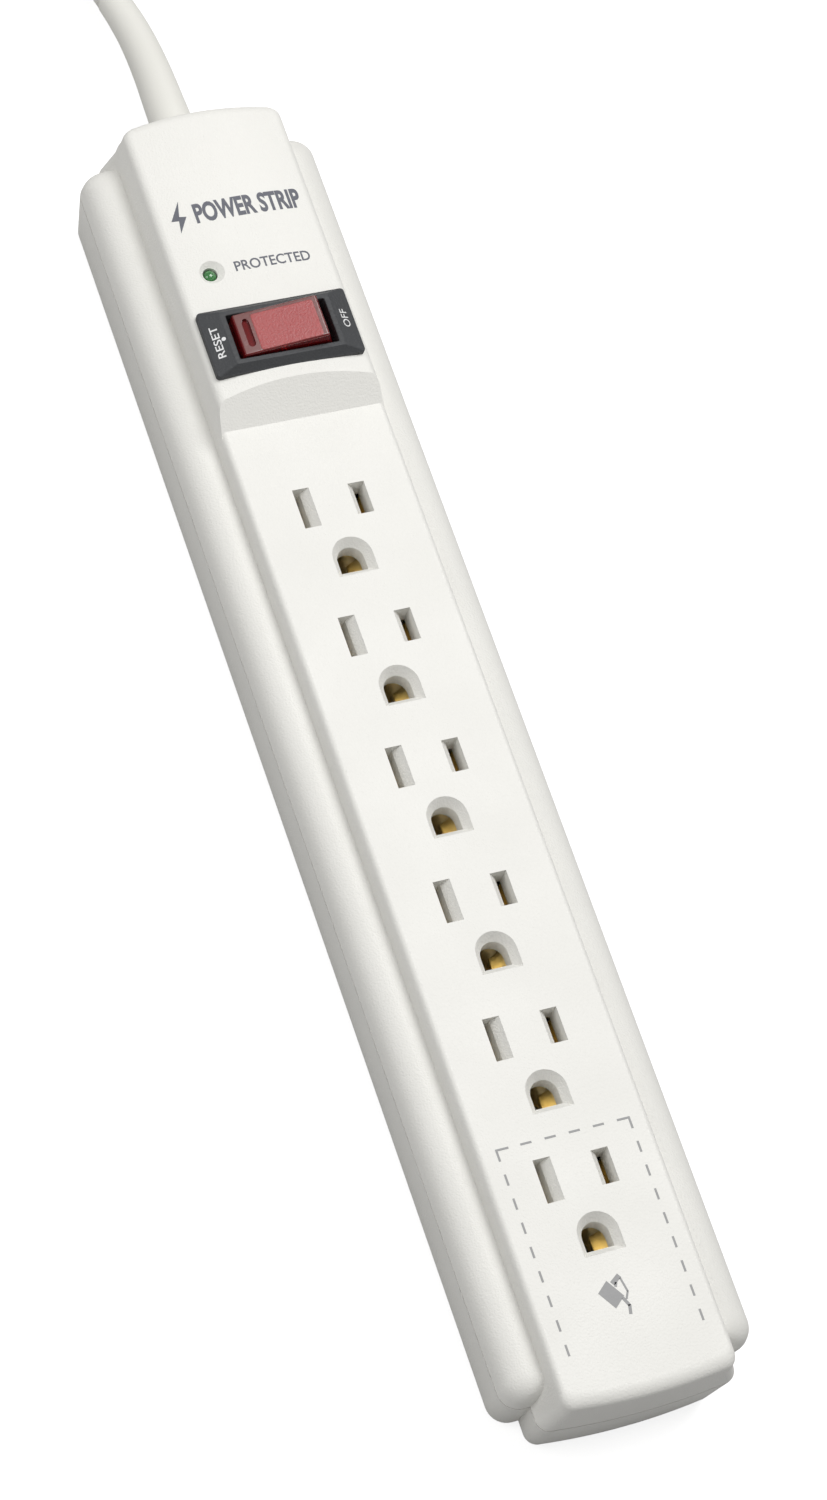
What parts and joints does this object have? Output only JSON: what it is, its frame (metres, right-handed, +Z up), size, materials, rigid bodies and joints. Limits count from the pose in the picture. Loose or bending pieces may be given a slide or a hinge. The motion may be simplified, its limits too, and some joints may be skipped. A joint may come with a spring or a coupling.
{
  "type": "surge protector power strip",
  "caption": "Long low outlet strip with side rails, a raised switch end with a lit rocker and status lamp, and a folded cord with a grounded plug.",
  "frame": {"origin": "on the surface it stands on, under the middle of the housing", "axes": "+X across the strip towards the off side of the switch, +Y along the strip towards the cord, +Z up"},
  "size_m": [0.0602, 0.5125, 0.0387],
  "materials": {
    "cover_white": "fine grain, warm off-white",
    "base_white": "fine grain, warm off-white",
    "bezel_charcoal": "fine grain",
    "black_plastic": "satin",
    "rocker_red": "translucent red",
    "steel": "zinc plated",
    "nylon": "natural",
    "contact_brass": "bright",
    "tinned": "tinned",
    "neon_glass": "clear envelope",
    "led_green": "diffused green",
    "board_green": "solder mask",
    "varistor_blue": "epoxy dip",
    "ceramic": "unglazed",
    "capacitor_yellow": "moulded case",
    "wire_black": "insulation",
    "wire_white": "insulation",
    "wire_green": "insulation",
    "label_silver": "printed foil",
    "cord_vinyl": "smooth vinyl, warm off-white",
    "tie_black": "vinyl-coated wire",
    "blade_brass": "stamped"
  },
  "bodies": {
    "housing": {"top_cover": "cover_white", "bottom_cover": "base_white", "switch_bezel": "bezel_charcoal", "switch_body": "black_plastic", "rocker_pin": "steel", "terminal_in": "tinned", "terminal_out": "tinned", "terminal_lamp": "tinned", "neon_lamp": "neon_glass", "status_led": "led_green", "led_holder": "black_plastic", "neutral_bus": "contact_brass", "line_bus": "contact_brass", "ground_bus": "contact_brass", "surge_board": "board_green", "varistor_1": "varistor_blue", "varistor_2": "varistor_blue", "varistor_3": "varistor_blue", "thermal_fuse": "ceramic", "capacitor": "capacitor_yellow", "wire_line_in": "wire_black", "wire_line": "wire_black", "wire_neutral": "wire_white", "wire_ground": "wire_green", "cord_end": "cord_vinyl", "cord_clamp": "nylon", "clamp_screw_1": "steel", "clamp_screw_2": "steel", "rating_label": "label_silver", "strain_relief": "cord_vinyl", "cord_lead": "cord_vinyl", "cord_hank": "cord_vinyl", "hank_tie": "tie_black", "cord_tail": "cord_vinyl", "plug_relief": "cord_vinyl", "plug_body": "cord_vinyl", "plug_blade_neutral": "blade_brass", "plug_blade_hot": "blade_brass", "plug_ground_pin": "blade_brass", "screw_1": "steel", "screw_2": "steel", "screw_3": "steel", "screw_4": "steel", "screw_5": "steel", "screw_6": "steel"},
    "rocker": {"rocker": "rocker_red", "plunger": "nylon"},
    "lever": {"contact_lever": "contact_brass"}
  },
  "joints": [
    {"name": "rocker_tilt", "type": "hinge", "parent": "housing", "child": "rocker", "pos_m": [0, 0.08435, 0.0274], "axis": [0, 1, 0], "range_deg": [0, 15.8]},
    {"name": "lever_tilt", "type": "hinge", "parent": "housing", "child": "lever", "pos_m": [0, 0.08435, 0.018], "axis": [0, 1, 0], "range_deg": [-20.2, 0]}
  ],
  "couplings": [
    {"joint": "lever_tilt", "follows": "rocker_tilt", "ratio": -1.27}
  ]
}
